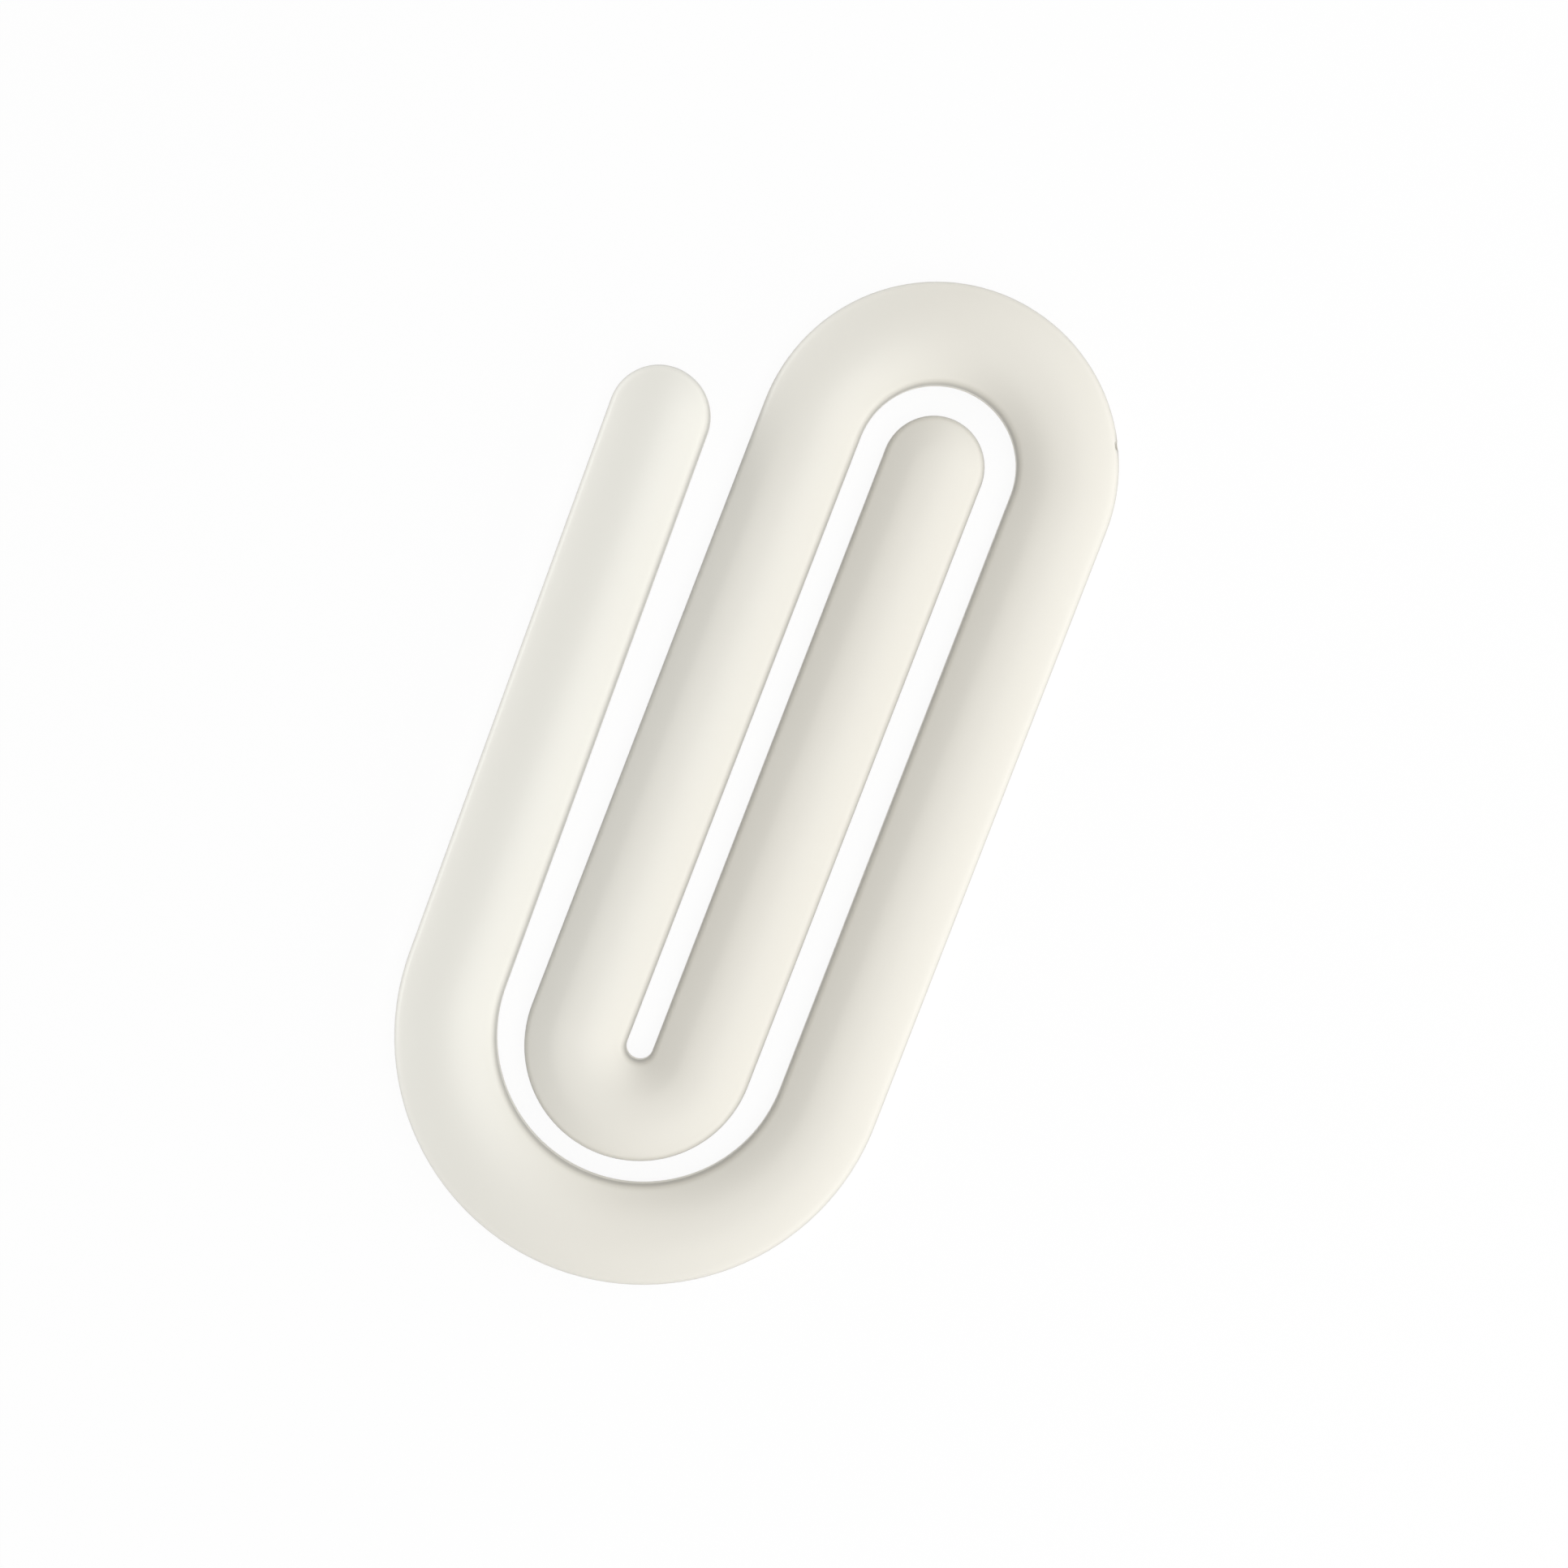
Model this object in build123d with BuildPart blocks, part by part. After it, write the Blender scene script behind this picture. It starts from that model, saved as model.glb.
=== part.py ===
"""Large paper clip: one crowned plastic strip bent into a double loop, divided where it flexes.

The clip lies on its flat back. X runs across it, +Y points to the head bend and +Z to the crowned face.
The origin is the centre of the clip's outline, on the surface that the back rests on.
"""

import os
from math import cos, radians, sin

from build123d import *

# Strip section, the same all along the clip: flat back, upright edges, crowned face
strip_width = 9.6
strip_thickness = 3.6
crown_rise = 1.5
face_edge_radius = 1.0
back_edge_radius = 0.4

# Slots between neighbouring runs of the strip
inner_gap = 2.5
outer_gap = 2.85
tongue_tip_gap = 2.85
toe_gap = 2.0

# Straight runs, from the bend to the other bend or to the centre of the rounded tip
long_leg_length = 59.625
outer_leg_length = 54.95
outer_leg_splay = 1.0

# Flex lines: a rounded end turns in a rounded seat, past a short straight stub of the bend
flex_clearance = 0.05
flex_setback = 0.6
lip_setback = 0.9

# Section and centre-line radii that follow from the sizes above
half_width = strip_width / 2
rim_height = strip_thickness - crown_rise
mid_height = strip_thickness / 2
inner_pitch = strip_width + inner_gap
outer_pitch = strip_width + outer_gap
toe_radius = inner_pitch / 2
head_radius = (inner_pitch + outer_pitch) / 2
heel_radius = inner_pitch / 2 + outer_pitch

# The outer leg leans outwards from the heel bend
lean_cos = cos(radians(outer_leg_splay))
lean_sin = sin(radians(outer_leg_splay))

# Heel centre, placed so that the outline is centred on the origin
tip_reach = heel_radius * lean_cos + outer_leg_length * lean_sin
left_reach = max(heel_radius, tip_reach) + half_width
right_reach = heel_radius + half_width
overall_length = heel_radius + long_leg_length + head_radius + strip_width
heel_x = (left_reach - right_reach) / 2
heel_y = heel_radius + half_width - overall_length / 2

# Centre lines of the legs and centres of the other bends
long_x = heel_x + heel_radius
tongue_x = heel_x + toe_radius
inner_x = heel_x - toe_radius
outer_x = heel_x - heel_radius * lean_cos
outer_y = heel_y - heel_radius * lean_sin
head_x = long_x - head_radius
head_y = heel_y + long_leg_length
toe_y = heel_y - heel_radius + toe_gap + toe_radius + strip_width
tongue_end_y = head_y + head_radius - half_width - tongue_tip_gap
tongue_tip_y = tongue_end_y - half_width

# Flex lines: X of each plane is the hinge axis and Y runs along the arm that lifts
knuckle_radius = strip_thickness / 2
stub_length = flex_setback + knuckle_radius
outer_flex = Plane(
    origin=(outer_x - stub_length * lean_sin, outer_y + stub_length * lean_cos, mid_height),
    x_dir=(lean_cos, lean_sin, 0),
    z_dir=(0, 0, 1),
)
inner_flex = Plane(origin=(inner_x, tongue_end_y, mid_height), x_dir=(-1, 0, 0), z_dir=(0, 0, 1))
tongue_flex = Plane(origin=(tongue_x, toe_y + stub_length, mid_height), x_dir=(1, 0, 0), z_dir=(0, 0, 1))


def across(x, y, lean=0.0):
    """Plane across the strip at a point of its centre line, facing along a leg that leans from +Y."""
    lean_angle = radians(lean)
    return Plane(
        origin=(x, y, 0),
        x_dir=(-cos(lean_angle), -sin(lean_angle), 0),
        z_dir=(-sin(lean_angle), cos(lean_angle), 0),
    )


def strip_face(plane):
    """Section of the strip, drawn on a plane across it."""
    with BuildSketch(plane) as face:
        with BuildLine():
            back = Line((-half_width, 0), (half_width, 0))
            edge = Line(back @ 1, (half_width, rim_height))
            crown = ThreePointArc(edge @ 1, (0, strip_thickness), (-half_width, rim_height))
            Line(crown @ 1, back @ 0)
        make_face()
        fillet(face.vertices().group_by(Axis.Y)[0], back_edge_radius)
        fillet(face.vertices().group_by(Axis.Y)[-1], face_edge_radius)
    return face.sketch


def half_strip_face(plane):
    """One half of the section, which turned about the strip's centre line makes a rounded tip."""
    with BuildSketch(plane) as face:
        add(strip_face(Plane.XY))
        split(bisect_by=Plane.YZ)
    return face.sketch


def arm_space(flex, breadth, reach, nose_radius, setback=0.0):
    """Space ahead of a flex line, with a round nose behind it, that parts an arm from its bend.

    With a setback the space starts that far behind the line, which leaves a seat blunt lips.
    """
    with BuildPart(flex) as space:
        Cylinder(nose_radius, breadth, rotation=(0, 90, 0))
        with Locations((0, (reach - setback) / 2, 0)):
            Box(breadth, reach + setback, 2 * strip_thickness)
    return space.part


def seat_space(flex, breadth, reach):
    """Space that an arm's rounded end turns in, cut out of the bend that carries the arm."""
    return arm_space(flex, breadth, reach, knuckle_radius + flex_clearance, lip_setback)


# Heel bend: half ring from the long leg round to the outer leg, ending in a rounded seat
with BuildPart() as heel_bend:
    revolve(
        strip_face(across(long_x, heel_y)),
        axis=Axis((heel_x, heel_y, 0), (0, 0, -1)),
        revolution_arc=180 - outer_leg_splay,
    )
    extrude(strip_face(across(outer_x, outer_y, outer_leg_splay)), amount=stub_length)
    add(seat_space(outer_flex, 2 * strip_width, stub_length), mode=Mode.SUBTRACT)
heel_bend.part.label = "heel_bend"

# Outer leg: straight leg with a rounded tip and a rounded end in the heel's seat
with BuildPart() as outer_leg:
    outer_tip = across(
        outer_x - outer_leg_length * lean_sin,
        outer_y + outer_leg_length * lean_cos,
        outer_leg_splay,
    )
    extrude(strip_face(outer_tip), amount=-outer_leg_length)
    revolve(half_strip_face(outer_tip), axis=Axis(outer_tip.origin, (0, 0, -1)), revolution_arc=180)
    add(
        arm_space(outer_flex, 2 * strip_width, outer_leg_length + half_width, knuckle_radius),
        mode=Mode.INTERSECT,
    )
outer_leg.part.label = "outer_leg"

# Long leg: the straight run between the heel and head bends
with BuildPart() as long_leg:
    extrude(strip_face(across(long_x, heel_y)), amount=long_leg_length)
long_leg.part.label = "long_leg"

# Head bend: half ring from the long leg, parted from the inner leg at the flex line
with BuildPart() as head_bend:
    revolve(
        strip_face(across(long_x, head_y)),
        axis=Axis((head_x, head_y, 0), (0, 0, 1)),
        revolution_arc=180,
    )
    add(seat_space(inner_flex, 2 * head_radius, head_radius), mode=Mode.SUBTRACT)
head_bend.part.label = "head_bend"

# Inner leg: the foot of the head's ring below the flex line and the straight run to the toe
with BuildPart() as inner_leg:
    extrude(strip_face(across(inner_x, toe_y)), amount=head_y - toe_y)
    revolve(
        strip_face(across(inner_x, head_y)),
        axis=Axis((head_x, head_y, 0), (0, 0, -1)),
        revolution_arc=90,
    )
    add(
        arm_space(inner_flex, 2 * head_radius, tongue_end_y - toe_y, knuckle_radius),
        mode=Mode.INTERSECT,
    )
inner_leg.part.label = "inner_leg"

# Toe bend: small half ring from the inner leg round to the tongue, ending in a rounded seat
with BuildPart() as toe_bend:
    revolve(
        strip_face(across(inner_x, toe_y)),
        axis=Axis((heel_x, toe_y, 0), (0, 0, 1)),
        revolution_arc=180,
    )
    extrude(strip_face(across(tongue_x, toe_y)), amount=stub_length)
    add(seat_space(tongue_flex, 2 * strip_width, stub_length), mode=Mode.SUBTRACT)
toe_bend.part.label = "toe_bend"

# Tongue: short straight leg with a rounded tip and a rounded end in the toe's seat
with BuildPart() as tongue:
    tongue_tip = across(tongue_x, tongue_tip_y)
    extrude(strip_face(tongue_tip), amount=toe_y - tongue_tip_y)
    revolve(half_strip_face(tongue_tip), axis=Axis(tongue_tip.origin, (0, 0, -1)), revolution_arc=180)
    add(
        arm_space(tongue_flex, 2 * strip_width, tongue_end_y - toe_y, knuckle_radius),
        mode=Mode.INTERSECT,
    )
tongue.part.label = "tongue"

pieces = [heel_bend, outer_leg, long_leg, head_bend, inner_leg, toe_bend, tongue]

os.makedirs("parts", exist_ok=True)
for piece in pieces:
    export_step(piece.part, f"parts/{piece.part.label}.step")
    print(piece.part.label, "volume", round(piece.part.volume, 2), "mm3")

for name, flex in {"outer_leg": outer_flex, "inner_leg": inner_flex, "tongue": tongue_flex}.items():
    print(name, "flex line at", flex.origin, "axis", flex.x_dir)
print("long leg back at", (long_x, heel_y + long_leg_length / 2, 0))
print("overall length", overall_length, "width", left_reach + right_reach)
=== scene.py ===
"""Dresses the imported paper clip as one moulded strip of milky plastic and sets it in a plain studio.

The strip is swept in four stretches that meet in its bends, short of the flex lines: the outer loop, the
outer leg, the inner loop and the tongue. All sizes are in metres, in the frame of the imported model.
"""

import logging
from collections.abc import Callable
from dataclasses import dataclass
from enum import Enum
from math import cos, pi, radians, sin, tan

import bmesh
import bpy
from mathutils import Matrix, Vector


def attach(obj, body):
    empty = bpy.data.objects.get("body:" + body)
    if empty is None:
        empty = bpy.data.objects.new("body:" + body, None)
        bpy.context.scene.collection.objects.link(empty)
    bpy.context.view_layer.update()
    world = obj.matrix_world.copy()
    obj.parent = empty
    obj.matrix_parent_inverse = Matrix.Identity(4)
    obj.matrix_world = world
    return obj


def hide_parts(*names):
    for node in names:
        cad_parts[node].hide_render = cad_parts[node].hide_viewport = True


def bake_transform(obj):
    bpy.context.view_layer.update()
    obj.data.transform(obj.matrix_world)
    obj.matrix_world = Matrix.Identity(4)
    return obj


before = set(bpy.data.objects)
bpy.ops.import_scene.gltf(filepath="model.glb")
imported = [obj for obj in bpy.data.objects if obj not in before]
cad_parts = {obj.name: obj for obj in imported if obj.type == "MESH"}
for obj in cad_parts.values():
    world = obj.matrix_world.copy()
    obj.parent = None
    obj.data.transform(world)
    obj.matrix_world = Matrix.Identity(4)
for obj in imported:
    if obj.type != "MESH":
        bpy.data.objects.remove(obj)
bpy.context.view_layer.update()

log = logging.getLogger("paper_clip")

Colour = tuple[float, float, float, float]
Place = tuple[float, float, float]
Source = bpy.types.NodeSocket | float | Colour

UP = Vector((0, 0, 1))
HEADWARD = Vector((0, 1, 0))
QUARTER_TURN = pi / 2
HALF_TURN = pi
CLOSE = 1e-6
UNIT_SIDE = 1.0
FULL_SHARE = 1.0
WHITE: Colour = (1, 1, 1, 1)
RIM_MARK = "rim"


class Pick(Enum):
    """What a selection in edit mode is made of."""

    POINTS = "VERT"
    EDGES = "EDGE"
    FACES = "FACE"


class MathStep(Enum):
    """What a math node works out from its terms."""

    LARGER = "MAXIMUM"
    PRODUCT = "MULTIPLY"
    PRODUCT_PLUS = "MULTIPLY_ADD"


class ColourMix(Enum):
    """How one colour is laid over another."""

    BLEND = "MIX"
    DARKEN = "MULTIPLY"


def deselect_all() -> None:
    """Deselects every object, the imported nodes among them."""
    bpy.ops.object.select_all(action="DESELECT")


def make_active(piece: bpy.types.Object) -> None:
    """Selects one object alone and makes it the active one.

    Args:
        piece: The object that the next operators act on.
    """
    deselect_all()
    piece.select_set(True)
    bpy.context.view_layer.objects.active = piece


def pick(piece: bpy.types.Object, kind: Pick, wanted: Callable[[Vector], bool]) -> None:
    """Selects in edit mode the elements whose points all lie in the wanted place.

    Args:
        piece: The object in edit mode.
        kind: Whether points, edges or faces are picked.
        wanted: Tells whether a point lies in the wanted place.
    """
    bpy.ops.mesh.select_mode(type=kind.value)
    bpy.ops.mesh.select_all(action="DESELECT")
    shape = bmesh.from_edit_mesh(piece.data)
    elements = {Pick.POINTS: shape.verts, Pick.EDGES: shape.edges, Pick.FACES: shape.faces}[kind]
    for element in elements:
        points = [element] if kind is Pick.POINTS else element.verts
        element.select_set(all(wanted(point.co) for point in points))
    shape.select_flush_mode()
    bmesh.update_edit_mesh(piece.data)


@dataclass(frozen=True)
class NodeBoard:
    """The node tree of a material or of the world, with short ways to add to it.

    A source is a socket to link from, or a plain value to set.
    """

    tree: bpy.types.NodeTree

    def feed(self, socket: bpy.types.NodeSocket, source: Source) -> None:
        """Links one input from a socket, or sets it to a plain value.

        Args:
            socket: The input.
            source: What it takes.
        """
        if isinstance(source, bpy.types.NodeSocket):
            self.tree.links.new(source, socket)
        else:
            socket.default_value = source

    def fill(self, node: bpy.types.Node, inputs: dict[str, Source]) -> None:
        """Feeds several inputs of a node.

        Args:
            node: The node.
            inputs: The source of each input, by the input's name.
        """
        for name, source in inputs.items():
            self.feed(node.inputs[name], source)

    def add(self, kind: str, inputs: dict[str, Source]) -> bpy.types.Node:
        """Adds a node and feeds it.

        Args:
            kind: Kind of node.
            inputs: The source of each input that differs from its default, by the input's name.

        Returns:
            The new node.
        """
        node = self.tree.nodes.new(kind)
        self.fill(node, inputs)
        return node

    def math(self, step: MathStep, *terms: Source) -> bpy.types.NodeSocket:
        """Adds a math node.

        Args:
            step: What it works out.
            terms: The sources of its terms, in order.

        Returns:
            The socket of its result.
        """
        node = self.tree.nodes.new("ShaderNodeMath")
        node.operation = step.value
        for socket, term in zip(node.inputs, terms):
            self.feed(socket, term)
        return node.outputs["Value"]

    def mix(self, way: ColourMix, share: Source, under: Source, over: Source) -> bpy.types.NodeSocket:
        """Adds a node that lays one colour over another.

        Args:
            way: How the colours mix.
            share: Source of the share of the upper colour.
            under: Source of the lower colour.
            over: Source of the upper colour.

        Returns:
            The socket of the mixed colour.
        """
        node = self.tree.nodes.new("ShaderNodeMix")
        node.data_type = "RGBA"
        node.blend_type = way.value
        self.fill(node, {"Factor": share, "A": under, "B": over})
        return node.outputs["Result"]

    def seen_directly(self) -> bpy.types.NodeSocket:
        """Adds nodes that tell whether a surface is seen by the camera or in a reflection.

        Returns:
            A socket that is 1 for camera, glossy and transmission rays.
        """
        rays = self.add("ShaderNodeLightPath", {}).outputs
        camera_or_glossy = self.math(MathStep.LARGER, rays["Is Camera Ray"], rays["Is Glossy Ray"])
        return self.math(MathStep.LARGER, camera_or_glossy, rays["Is Transmission Ray"])

    def mix_output(self, output: str, share: bpy.types.NodeSocket, *shaders: bpy.types.NodeSocket) -> None:
        """Mixes two shaders into the tree's output.

        Args:
            output: Name of the output node.
            share: Share of the second shader.
            shaders: The two shaders.
        """
        mixed = self.tree.nodes.new("ShaderNodeMixShader")
        for socket, source in zip(mixed.inputs, (share, *shaders)):
            self.feed(socket, source)
        self.fill(self.tree.nodes[output], {"Surface": mixed.outputs["Shader"]})


@dataclass(frozen=True)
class ClipPlan:
    """Centre line of the strip: the clip's driving sizes and the places that follow from them."""

    strip_width: float = 9.6e-3
    inner_gap: float = 2.5e-3
    outer_gap: float = 2.85e-3
    tongue_tip_gap: float = 2.85e-3
    toe_gap: float = 2.0e-3
    long_leg_length: float = 59.625e-3
    outer_leg_length: float = 54.95e-3
    outer_leg_splay: float = radians(1.0)
    stub_length: float = 2.4e-3
    heel_seam_turn: float = radians(36)

    @property
    def half_width(self) -> float:
        """Half the strip's width."""
        return self.strip_width / 2

    @property
    def toe_radius(self) -> float:
        """Centre-line radius of the toe bend."""
        return (self.strip_width + self.inner_gap) / 2

    @property
    def head_radius(self) -> float:
        """Centre-line radius of the head bend."""
        return self.strip_width + (self.inner_gap + self.outer_gap) / 2

    @property
    def heel_radius(self) -> float:
        """Centre-line radius of the heel bend."""
        return self.toe_radius + self.strip_width + self.outer_gap

    @property
    def length(self) -> float:
        """Length of the whole clip."""
        return self.heel_radius + self.long_leg_length + self.head_radius + self.strip_width

    @property
    def tip_reach(self) -> float:
        """How far the outer leg's tip lies to the side of the heel bend's centre."""
        splay = self.outer_leg_splay
        return self.heel_radius * cos(splay) + self.outer_leg_length * sin(splay)

    @property
    def heel(self) -> Vector:
        """Centre of the heel bend, placed so that the outline is centred on the origin."""
        side_excess = max(self.heel_radius, self.tip_reach) - self.heel_radius
        return Vector((side_excess / 2, self.heel_radius + self.half_width - self.length / 2, 0))

    @property
    def long_foot(self) -> Vector:
        """Where the long leg leaves the heel bend."""
        return self.heel + Vector((self.heel_radius, 0, 0))

    @property
    def head(self) -> Vector:
        """Centre of the head bend."""
        return self.long_foot + Vector((-self.head_radius, self.long_leg_length, 0))

    @property
    def toe(self) -> Vector:
        """Centre of the toe bend."""
        rise = self.toe_gap + self.strip_width + self.toe_radius - self.heel_radius
        return self.heel + Vector((0, rise, 0))

    @property
    def outer_heading(self) -> Vector:
        """Direction of the outer leg, from the heel bend to its tip."""
        return Vector((-sin(self.outer_leg_splay), cos(self.outer_leg_splay), 0))

    @property
    def outer_foot(self) -> Vector:
        """Where the outer leg leaves the heel bend."""
        across = self.heel_radius * Vector((cos(self.outer_leg_splay), sin(self.outer_leg_splay), 0))
        return self.heel - across

    @property
    def outer_flex(self) -> Vector:
        """Middle of the outer leg's flex line."""
        return self.outer_foot + self.stub_length * self.outer_heading

    @property
    def outer_tip(self) -> Vector:
        """Centre of the outer leg's rounded tip."""
        return self.outer_foot + self.outer_leg_length * self.outer_heading

    @property
    def tongue_end(self) -> float:
        """How far up the clip the tongue ends, level with the inner loop's flex line."""
        return self.head.y + self.head_radius - self.half_width - self.tongue_tip_gap

    @property
    def tongue_flex(self) -> Vector:
        """Middle of the tongue's flex line."""
        return self.toe + Vector((self.toe_radius, self.stub_length, 0))

    @property
    def tongue_tip(self) -> Vector:
        """Centre of the tongue's rounded tip."""
        return Vector((self.tongue_flex.x, self.tongue_end - self.half_width, 0))

    @property
    def inner_flex(self) -> Vector:
        """Middle of the inner loop's flex line."""
        return Vector((self.toe.x - self.toe_radius, self.tongue_end, 0))

    @property
    def heel_seam_lean(self) -> float:
        """Turn of the strip from +Y where the outer loop and the outer leg meet."""
        return self.outer_leg_splay + self.heel_seam_turn

    @property
    def heel_seam(self) -> Vector:
        """Where the outer loop and the outer leg meet, part of the way round the heel bend."""
        across = Vector((cos(self.heel_seam_lean), sin(self.heel_seam_lean), 0))
        return self.heel - self.heel_radius * across

    @property
    def head_top(self) -> Vector:
        """Where the outer and inner loops meet, at the top of the head bend."""
        return self.head + Vector((0, self.head_radius, 0))

    @property
    def toe_bottom(self) -> Vector:
        """Where the inner loop and the tongue meet, at the bottom of the toe bend."""
        return self.toe - Vector((0, self.toe_radius, 0))


@dataclass(frozen=True)
class StripSection:
    """Cross-section of the strip: flat back, edges with a mould line, and a crowned face."""

    width: float
    thickness: float = 3.6e-3
    crown_rise: float = 1.5e-3
    face_edge_radius: float = 0.6e-3
    back_edge_radius: float = 0.4e-3
    mould_line: float = 0.05e-3
    rim_band: float = 0.9e-3
    edge_steps: int = 7
    back_steps: int = 4
    columns: int = 24

    @property
    def rim(self) -> float:
        """Height of the face where it meets the edges, before the crown is raised."""
        return self.thickness - self.crown_rise

    @property
    def shoulder(self) -> float:
        """Height at which the rounds along the face begin."""
        return self.rim - self.face_edge_radius

    def model(self) -> bpy.types.Object:
        """Models the section once, as a face that stands across the strip at the origin.

        Returns:
            The blank that each stretch of the strip starts from.
        """
        deselect_all()
        bpy.ops.mesh.primitive_plane_add(
            size=UNIT_SIDE, location=(0, 0, self.rim / 2), rotation=(QUARTER_TURN, 0, 0)
        )
        blank = bpy.context.active_object
        blank.name = "section_blank"
        blank.scale = (self.width - 2 * self.mould_line, self.rim, UNIT_SIDE)
        bpy.ops.object.transform_apply(location=True, rotation=True, scale=True)
        bpy.ops.object.mode_set(mode="EDIT")
        self.round_edges(blank)
        self.draw_mould_line(blank)
        self.raise_crown(blank)
        bpy.ops.object.mode_set(mode="OBJECT")
        self.mark_rim(blank)
        return blank

    def round_edges(self, blank: bpy.types.Object) -> None:
        """Rounds the corners of the section, the back ones first.

        Args:
            blank: The section, in edit mode.
        """
        pick(blank, Pick.POINTS, lambda point: point.z < CLOSE)
        bpy.ops.mesh.bevel(offset=self.back_edge_radius, segments=self.back_steps, affect="VERTICES")
        pick(blank, Pick.POINTS, lambda point: point.z > self.rim - CLOSE)
        bpy.ops.mesh.bevel(offset=self.face_edge_radius, segments=self.edge_steps, affect="VERTICES")

    def draw_mould_line(self, blank: bpy.types.Object) -> None:
        """Draws each edge out to a shallow ridge where the two halves of the mould met.

        Args:
            blank: The section, in edit mode.
        """
        side = self.width / 2 - self.mould_line
        for sign in (-1, 1):
            pick(blank, Pick.EDGES, lambda point: sign * point.x > side - CLOSE)
            before = {tuple(point.co) for point in bmesh.from_edit_mesh(blank.data).verts}
            bpy.ops.mesh.subdivide(number_cuts=1)
            pick(blank, Pick.POINTS, lambda point: tuple(point) not in before)
            bpy.ops.transform.translate(value=(sign * self.mould_line, 0, 0))

    def raise_crown(self, blank: bpy.types.Object) -> None:
        """Divides the face and the back into columns and raises the face to its crown.

        Args:
            blank: The section, in edit mode.
        """
        for level in (0, self.rim):
            pick(blank, Pick.EDGES, lambda point: abs(point.z - level) < CLOSE)
            bpy.ops.mesh.subdivide(number_cuts=self.columns - 1)
        pick(blank, Pick.POINTS, lambda point: point.z < self.shoulder + CLOSE)
        bpy.ops.mesh.hide()
        pick(blank, Pick.POINTS, lambda point: abs(point.x) < CLOSE)
        bpy.ops.transform.translate(
            value=(0, 0, self.crown_rise),
            use_proportional_edit=True,
            proportional_edit_falloff="INVERSE_SQUARE",
            proportional_size=self.width / 2,
        )
        bpy.ops.mesh.reveal(select=False)

    def mark_rim(self, blank: bpy.types.Object) -> None:
        """Marks how near each point of the face lies to the strip's edges, for the plastic's painted rim
        highlight and shade to read.

        Args:
            blank: The finished section, which each sweep copies the marks from.
        """
        rim = blank.data.attributes.new(RIM_MARK, "FLOAT", "POINT")
        inner = self.width / 2 - self.rim_band
        for point, mark in zip(blank.data.vertices, rim.data):
            if point.co.z > self.shoulder - CLOSE:
                mark.value = max(0, (abs(point.co.x) - inner) / self.rim_band)


@dataclass(frozen=True)
class StraightRun:
    """A straight length of the strip."""

    travel: Vector
    rings: int

    def sweep(self) -> None:
        """Draws the selected end of the strip out, ring by ring."""
        for _ in range(self.rings):
            bpy.ops.mesh.extrude_region_move(TRANSFORM_OT_translate={"value": self.travel / self.rings})


@dataclass(frozen=True)
class BendRun:
    """A bend of the strip about an upright axis."""

    centre: Vector
    angle: float
    rings: int

    def sweep(self) -> None:
        """Turns the selected end of the strip about the bend's centre, a positive angle anticlockwise."""
        bpy.ops.mesh.spin(steps=self.rings, angle=-self.angle, center=self.centre, axis=UP)


@dataclass(frozen=True)
class RoundTip:
    """The rounded free end of a leg, turned from half of its section."""

    centre: Vector
    heading: Vector
    rings: int

    def close(self, piece: bpy.types.Object) -> None:
        """Takes the flat end off the leg and turns the tip on it.

        Args:
            piece: The leg, in edit mode, with its flat end selected.
        """
        bpy.ops.mesh.delete(type="ONLY_FACE")
        side = self.heading.cross(UP)

        def on_half(point: Vector) -> bool:
            """Tells whether a point lies on the right half of the leg's end."""
            offset = point - self.centre
            return abs(offset.dot(self.heading)) < CLOSE and offset.dot(side) > -CLOSE

        pick(piece, Pick.EDGES, on_half)
        BendRun(self.centre, HALF_TURN, self.rings).sweep()


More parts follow.
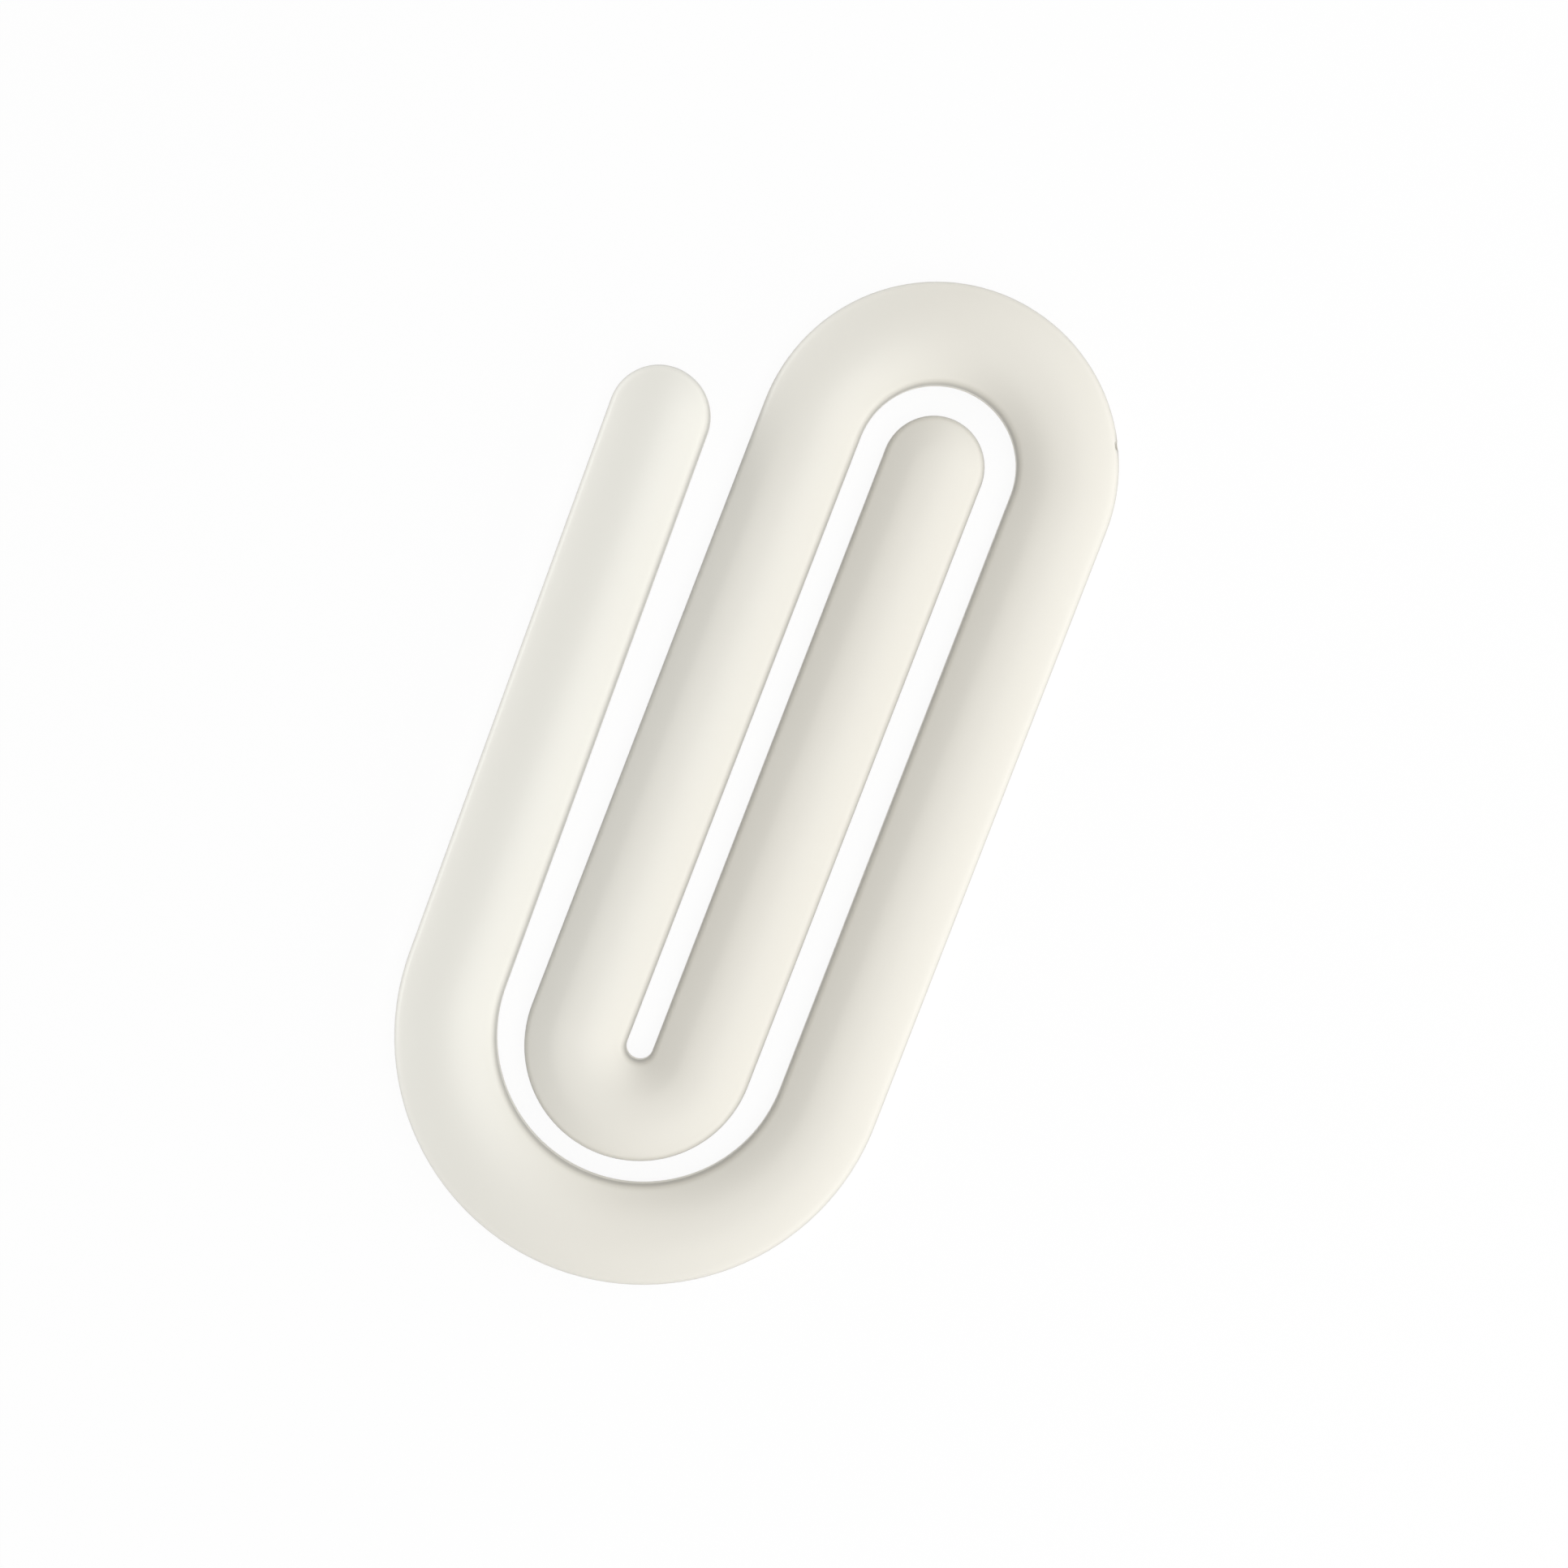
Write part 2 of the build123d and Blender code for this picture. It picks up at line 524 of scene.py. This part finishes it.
@dataclass(frozen=True)
class ClipPlastic:
    """Satin, milky off-white moulded plastic with faint clouding, and along the edges a painted highlight,
    then painted shade.

    The white drifts from a lighter, cooler painted light at the outer leg to a darker, warmer painted shade
    at the inner legs.
    Along the rims the painted highlight and shade go from the face (0) to the very edge (1): each is a place
    and the share of white there.
    """

    slot: str = "clip_plastic"
    # Painted light and shade: the lighter, cooler white lights the outer leg and the darker, warmer white
    # shades the inner legs; the clouding mixes the same two.
    clouded_and_lit_white: Colour = (0.843, 0.83, 0.766, 1)
    clouded_and_shaded_white: Colour = (0.81, 0.784, 0.71, 1)
    lit_side: float = -20e-3
    shaded_side: float = 4e-3
    cloud_share: float = 0.5
    cloud_scale: float = 55
    # Painted rim light: a faint lighter bead as a painted highlight, then grey at the very edge as painted
    # shade.
    rim_highlight_and_shade: tuple[tuple[float, float], ...] = ((0, 0.94), (0.42, 0.955), (0.68, 0.9), (1, 0.56))
    satin: float = 0.36
    matt: float = 0.46
    ior: float = 1.49
    grain_scale: float = 2600
    grain_depth: float = 4e-6
    grain_strength: float = 0.12

    def make(self) -> bpy.types.Material:
        """Makes the plastic.

        Returns:
            The material that all stretches of the strip share.
        """
        plastic = bpy.data.materials.new("milky_plastic")
        plastic.use_nodes = True
        board = NodeBoard(plastic.node_tree)
        place = board.add("ShaderNodeTexCoord", {}).outputs["Object"]
        grain = board.add("ShaderNodeTexNoise", {"Scale": self.grain_scale, "Vector": place}).outputs["Fac"]
        white = self.tint_and_paint_light(board, place)
        looks = {
            # The white is multiplied by the painted highlight and shade along the rims.
            "Base Color": board.mix(ColourMix.DARKEN, FULL_SHARE, white, self.painted_rim_light(board)),
            "Roughness": self.sheen(board, grain),
            "IOR": self.ior,
            "Normal": self.relief(board, grain),
        }
        board.fill(plastic.node_tree.nodes["Principled BSDF"], looks)
        return plastic

    def tint_and_paint_light(self, board: NodeBoard, place: bpy.types.NodeSocket) -> bpy.types.NodeSocket:
        """Adds the white of the plastic: painted light at the outer leg, painted shade towards the inner
        legs, and faint clouding.

        Args:
            board: The plastic's nodes.
            place: Socket of the place on the clip.

        Returns:
            The socket of the white.
        """
        cloud = board.add("ShaderNodeTexNoise", {"Scale": self.cloud_scale, "Vector": place})
        across = board.add("ShaderNodeSeparateXYZ", {"Vector": place})
        # Painted light and shade across the clip: lighter and cooler at the outer leg, darker and warmer
        # towards the inner legs.
        reach = {
            "Value": across.outputs["X"],
            "From Min": self.lit_side,
            "From Max": self.shaded_side,
            "To Min": -self.cloud_share / 2,
            "To Max": FULL_SHARE - self.cloud_share / 2,
        }
        painted_light_drift = board.add("ShaderNodeMapRange", reach).outputs["Result"]
        cloud_and_shade_share = board.math(MathStep.PRODUCT_PLUS, cloud.outputs["Fac"], self.cloud_share, painted_light_drift)
        return board.mix(ColourMix.BLEND, cloud_and_shade_share, self.clouded_and_lit_white, self.clouded_and_shaded_white)

    def painted_rim_light(self, board: NodeBoard) -> bpy.types.NodeSocket:
        """Adds the painted highlight and painted shade along the rims, read from the marks on the strip.

        Args:
            board: The plastic's nodes.

        Returns:
            The socket of the tone.
        """
        rim = board.add("ShaderNodeAttribute", {})
        rim.attribute_name = RIM_MARK
        # Painted highlight and shade: a lighter bead inside each rim, greying to the very edge.
        tones = board.add("ShaderNodeValToRGB", {"Fac": rim.outputs["Fac"]})
        ramp = tones.color_ramp.elements
        while len(ramp) < len(self.rim_highlight_and_shade):
            ramp.new(FULL_SHARE)
        for step, (place_on_rim, share) in zip(ramp, self.rim_highlight_and_shade):
            step.position = place_on_rim
            step.color = (share, share, share, FULL_SHARE)
        return tones.outputs["Color"]

    def sheen(self, board: NodeBoard, grain: bpy.types.NodeSocket) -> bpy.types.NodeSocket:
        """Adds the satin gloss, which varies with the grain.

        Args:
            board: The plastic's nodes.
            grain: Socket of the grain.

        Returns:
            The socket of the roughness.
        """
        reach = {"Value": grain, "To Min": self.satin, "To Max": self.matt}
        return board.add("ShaderNodeMapRange", reach).outputs["Result"]

    def relief(self, board: NodeBoard, grain: bpy.types.NodeSocket) -> bpy.types.NodeSocket:
        """Adds the fine relief of the grain.

        Args:
            board: The plastic's nodes.
            grain: Socket of the grain.

        Returns:
            The socket of the surface's direction.
        """
        depth = {"Strength": self.grain_strength, "Distance": self.grain_depth, "Height": grain}
        return board.add("ShaderNodeBump", depth).outputs["Normal"]


@dataclass
class StripStretch:
    """One unbroken stretch of the strip, swept from the section blank."""

    plan: ClipPlan
    blank: bpy.types.Object
    finish: ClipPlastic
    plastic: bpy.types.Material
    smooth_angle: float = radians(35)
    bend_step: float = radians(3)
    ring_step: float = 1.0e-3

    def stand(self, name: str, place: Vector, turn: float) -> bpy.types.Object:
        """Stands a copy of the section across the strip and leaves it in edit mode, selected.

        Args:
            name: Name of the new piece.
            place: Where the stretch starts.
            turn: Turn of its heading from +Y.

        Returns:
            The new piece.
        """
        make_active(self.blank)
        bpy.ops.object.duplicate()
        piece = bpy.context.active_object
        piece.name = name
        piece.matrix_world = Matrix.Translation(place) @ Matrix.Rotation(turn, 4, "Z")
        bpy.ops.object.transform_apply(location=True, rotation=True, scale=True)
        bpy.ops.object.mode_set(mode="EDIT")
        bpy.ops.mesh.select_mode(type=Pick.FACES.value)
        bpy.ops.mesh.select_all(action="SELECT")
        return piece

    def straight(self, travel: Vector) -> StraightRun:
        """A straight run with rings at the usual spacing."""
        return StraightRun(travel, max(1, round(travel.length / self.ring_step)))

    def bend(self, centre: Vector, angle: float) -> BendRun:
        """A bend with rings at the usual angle."""
        return BendRun(centre, angle, max(1, round(abs(angle) / self.bend_step)))

    def tip(self, centre: Vector, heading: Vector) -> RoundTip:
        """A rounded tip with rings at the usual angle."""
        return RoundTip(centre, heading, round(HALF_TURN / self.bend_step))

    def dress(self, piece: bpy.types.Object) -> None:
        """Cleans the swept mesh, shades it smooth and gives it the plastic.

        Args:
            piece: The swept piece, in edit mode.
        """
        bpy.ops.mesh.select_all(action="SELECT")
        bpy.ops.mesh.remove_doubles(threshold=CLOSE)
        bpy.ops.mesh.normals_make_consistent(inside=False)
        bpy.ops.object.mode_set(mode="OBJECT")
        bpy.ops.object.shade_smooth_by_angle(angle=self.smooth_angle)
        piece.data.materials.append(self.plastic)


@dataclass
class OuterLoop(StripStretch):
    """Heel bend, long leg and head bend, which carry the other stretches."""

    body: str = "clip_frame"
    nick_turn: float = radians(27.4)
    nick_arc: float = radians(3)
    nick_rings: int = 6
    nick_height: float = 1.9e-3
    nick_inset: float = 0.2e-3
    nick_reach: float = 0.5e-3
    nick_push: Place = (-0.25e-3, 0, -0.45e-3)

    def build(self) -> bpy.types.Object:
        """Sweeps the loop from the heel bend round to the top of the head bend.

        Returns:
            The finished piece.
        """
        plan = self.plan
        piece = self.stand("outer_loop", plan.heel_seam, HALF_TURN + plan.heel_seam_lean)
        self.bend(plan.heel, HALF_TURN - plan.heel_seam_lean).sweep()
        self.straight(plan.long_leg_length * HEADWARD).sweep()
        before_nick = self.nick_turn - self.nick_arc / 2
        self.bend(plan.head, before_nick).sweep()
        BendRun(plan.head, self.nick_arc, self.nick_rings).sweep()
        self.bend(plan.head, QUARTER_TURN - before_nick - self.nick_arc).sweep()
        self.nick_rim(piece)
        self.dress(piece)
        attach(piece, self.body)
        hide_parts("heel_bend", "long_leg", "head_bend")
        return piece

    def nick_rim(self, piece: bpy.types.Object) -> None:
        """Dents the head bend's outer rim, where the moulding was broken off its runner.

        Args:
            piece: The swept loop, in edit mode.
        """
        plan = self.plan
        turned = Matrix.Rotation(self.nick_turn, 3, "Z")
        rim_radius = plan.head_radius + plan.half_width - self.nick_inset
        spot = plan.head + turned @ Vector((rim_radius, 0, self.nick_height))
        pick(piece, Pick.POINTS, lambda point: (point - spot).length < self.nick_inset)
        bpy.ops.transform.translate(
            value=turned @ Vector(self.nick_push),
            use_proportional_edit=True,
            proportional_edit_falloff="SMOOTH",
            proportional_size=self.nick_reach,
        )


@dataclass(kw_only=True)
class FlexingStretch(StripStretch):
    """A stretch of a free part of the strip; its carrier, body and flex reaches are listed but not used."""

    carrier: str
    body: str
    flex_before: float
    flex_after: float

    def flex(self, piece: bpy.types.Object, line: Vector, heading: Vector) -> None:
        """Bakes the finished piece's place into its mesh; the piece is not bent across its flex line.

        Args:
            piece: The finished piece.
            line: Middle of the flex line. Not used.
            heading: Direction of the strip there, away from the carrier. Not used.
        """
        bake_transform(piece)


@dataclass
class OuterLeg(FlexingStretch):
    """The long free leg, which bends up from the heel."""

    carrier: str = "clip_frame"
    body: str = "outer_arm"
    flex_before: float = 10e-3
    flex_after: float = 10e-3

    def build(self) -> bpy.types.Object:
        """Sweeps the leg out of the heel bend and on to its tip.

        Returns:
            The finished piece.
        """
        plan = self.plan
        heading = plan.outer_heading
        piece = self.stand("outer_leg_skin", plan.heel_seam, plan.heel_seam_lean)
        self.bend(plan.heel, -plan.heel_seam_turn).sweep()
        self.straight(plan.outer_tip - plan.outer_foot).sweep()
        self.tip(plan.outer_tip, heading).close(piece)
        self.dress(piece)
        self.flex(piece, plan.outer_flex, heading)
        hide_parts("outer_leg")
        return piece


@dataclass
class InnerLoop(FlexingStretch):
    """Half of the head bend, inner leg and half of the toe bend, which bend up from the head."""

    carrier: str = "clip_frame"
    body: str = "inner_arm"
    flex_before: float = 3.2e-3
    flex_after: float = 4.8e-3

    def build(self) -> bpy.types.Object:
        """Sweeps the loop from the top of the head bend down to the bottom of the toe bend.

        Returns:
            The finished piece.
        """
        plan = self.plan
        heading = -HEADWARD
        piece = self.stand("inner_loop", plan.head_top, QUARTER_TURN)
        self.bend(plan.head, QUARTER_TURN).sweep()
        self.straight((plan.head.y - plan.toe.y) * heading).sweep()
        self.bend(plan.toe, QUARTER_TURN).sweep()
        self.dress(piece)
        self.flex(piece, plan.inner_flex, heading)
        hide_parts("inner_leg", "toe_bend")
        return piece


@dataclass
class Tongue(FlexingStretch):
    """The short free leg inside the clip, which bends up from the toe."""

    carrier: str = "inner_arm"
    body: str = "tongue_arm"
    flex_before: float = 4e-3
    flex_after: float = 5.5e-3

    def build(self) -> bpy.types.Object:
        """Sweeps the tongue out of the toe bend and on to its tip.

        Returns:
            The finished piece.
        """
        plan = self.plan
        piece = self.stand("tongue_skin", plan.toe_bottom, -QUARTER_TURN)
        self.bend(plan.toe, QUARTER_TURN).sweep()
        self.straight((plan.tongue_tip.y - plan.toe.y) * HEADWARD).sweep()
        self.tip(plan.tongue_tip, HEADWARD).close(piece)
        self.dress(piece)
        self.flex(piece, plan.tongue_flex, HEADWARD)
        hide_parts("tongue")
        return piece


@dataclass(frozen=True)
class SoftBox:
    """A long soft lamp on an arc over the clip, square to the legs."""

    lean: float
    spread: float
    radiance: float
    length: float
    distance: float = 0.6

    @property
    def width(self) -> float:
        """Width that fills the lamp's spread as seen from the clip."""
        return 2 * self.distance * tan(self.spread / 2)

    @property
    def place(self) -> Vector:
        """Middle of the lamp, which leans from straight above towards +X."""
        return self.distance * Vector((sin(self.lean), 0, cos(self.lean)))

    @property
    def power(self) -> float:
        """Power at which the lamp has its radiance."""
        return self.radiance * pi * self.width * self.length


class Lamp(Enum):
    """The studio's lamps: a broad one above, one low on the right and a thin strip low on the left."""

    TOP = SoftBox(lean=radians(17), spread=radians(48), radiance=1.28, length=3.4)
    RIGHT = SoftBox(lean=radians(75), spread=radians(16), radiance=2.8, length=2.4)
    LEFT = SoftBox(lean=radians(-88.9), spread=radians(2.2), radiance=35.0, length=0.8)


@dataclass
class Studio:
    """White floor, soft lamps and the camera almost straight above the clip."""

    floor_size: float = 4.0
    floor_white: Colour = (0.95, 0.95, 0.95, 1)
    floor_glow_share: float = 0.9
    ambient: float = 0.38
    lens: float = 54.0
    camera_place: Place = (1.31e-3, 5.56e-3, 220.95e-3)
    camera_aim: Place = (4.23e-3, 0.18e-3, 0)
    camera_roll: float = radians(21.17)

    def lay_floor(self) -> bpy.types.Object:
        """Lays the white floor, which glows towards the camera and keeps the clip's shadow.

        Returns:
            The floor.
        """
        deselect_all()
        bpy.ops.mesh.primitive_plane_add(size=self.floor_size)
        floor = bpy.context.active_object
        floor.name = "floor"
        paper = bpy.data.materials.new("white_paper")
        paper.use_nodes = True
        nodes = paper.node_tree.nodes
        nodes.remove(nodes["Principled BSDF"])
        board = NodeBoard(paper.node_tree)
        matt = board.add("ShaderNodeBsdfDiffuse", {"Color": self.floor_white})
        glow = board.add("ShaderNodeEmission", {"Color": WHITE, "Strength": FULL_SHARE})
        share = board.math(MathStep.PRODUCT, board.seen_directly(), self.floor_glow_share)
        board.mix_output("Material Output", share, matt.outputs["BSDF"], glow.outputs["Emission"])
        floor.data.materials.append(paper)
        return floor

    def light_world(self) -> bpy.types.World:
        """Sets the even light of the room, which shows as white behind the clip.

        Returns:
            The world.
        """
        world = bpy.data.worlds.new("studio_room")
        bpy.context.scene.world = world
        world.use_nodes = True
        board = NodeBoard(world.node_tree)
        room = world.node_tree.nodes["Background"]
        board.fill(room, {"Color": WHITE, "Strength": self.ambient})
        backdrop = board.add("ShaderNodeBackground", {"Color": WHITE, "Strength": FULL_SHARE})
        shaders = (room.outputs["Background"], backdrop.outputs["Background"])
        board.mix_output("World Output", board.seen_directly(), *shaders)
        return world

    def hang_lamp(self, lamp: Lamp) -> bpy.types.Object:
        """Hangs one soft lamp.

        Args:
            lamp: Which lamp.

        Returns:
            The lamp's object.
        """
        box = lamp.value
        deselect_all()
        bpy.ops.object.light_add(type="AREA", location=box.place, rotation=(0, box.lean, 0))
        holder = bpy.context.active_object
        holder.name = lamp.name.lower()
        holder.visible_camera = False
        holder.data.shape = "RECTANGLE"
        holder.data.size = box.width
        holder.data.size_y = box.length
        holder.data.energy = box.power
        return holder

    def set_camera(self) -> bpy.types.Object:
        """Sets the camera above the clip, rolled so that the clip leans as in the photograph.

        Returns:
            The camera's object.
        """
        deselect_all()
        bpy.ops.object.camera_add(location=self.camera_place)
        camera = bpy.context.active_object
        camera.name = "camera"
        forward = (Vector(self.camera_aim) - Vector(self.camera_place)).normalized()
        upward = Vector((-sin(self.camera_roll), cos(self.camera_roll), 0))
        right = forward.cross(upward).normalized()
        upward = right.cross(forward)
        turn = Matrix((right, upward, -forward)).transposed()
        camera.matrix_world = Matrix.Translation(self.camera_place) @ turn.to_4x4()
        camera.data.lens = self.lens
        bpy.context.scene.camera = camera
        return camera

    def build(self) -> None:
        """Sets up the whole studio and reports what stands in it."""
        bpy.context.scene.view_settings.view_transform = "Standard"
        for thing in (self.set_camera(), self.lay_floor(), self.light_world()):
            log.info("studio: %s", thing.name)
        for lamp in Lamp:
            log.info("studio: lamp %s", self.hang_lamp(lamp).name)


def main() -> None:
    """Builds the studio and the clip's four stretches, and reports each piece."""
    logging.basicConfig(level=logging.INFO, format="%(name)s: %(message)s")
    Studio().build()
    plan = ClipPlan()
    finish = ClipPlastic()
    blank = StripSection(width=plan.strip_width).model()
    shared = {"plan": plan, "blank": blank, "finish": finish, "plastic": finish.make()}
    for stretch in (OuterLoop, OuterLeg, InnerLoop, Tongue):
        piece = stretch(**shared).build()
        log.info("%s: %d faces", piece.name, len(piece.data.polygons))
    bpy.data.objects.remove(blank)


if __name__ == "__main__":
    main()
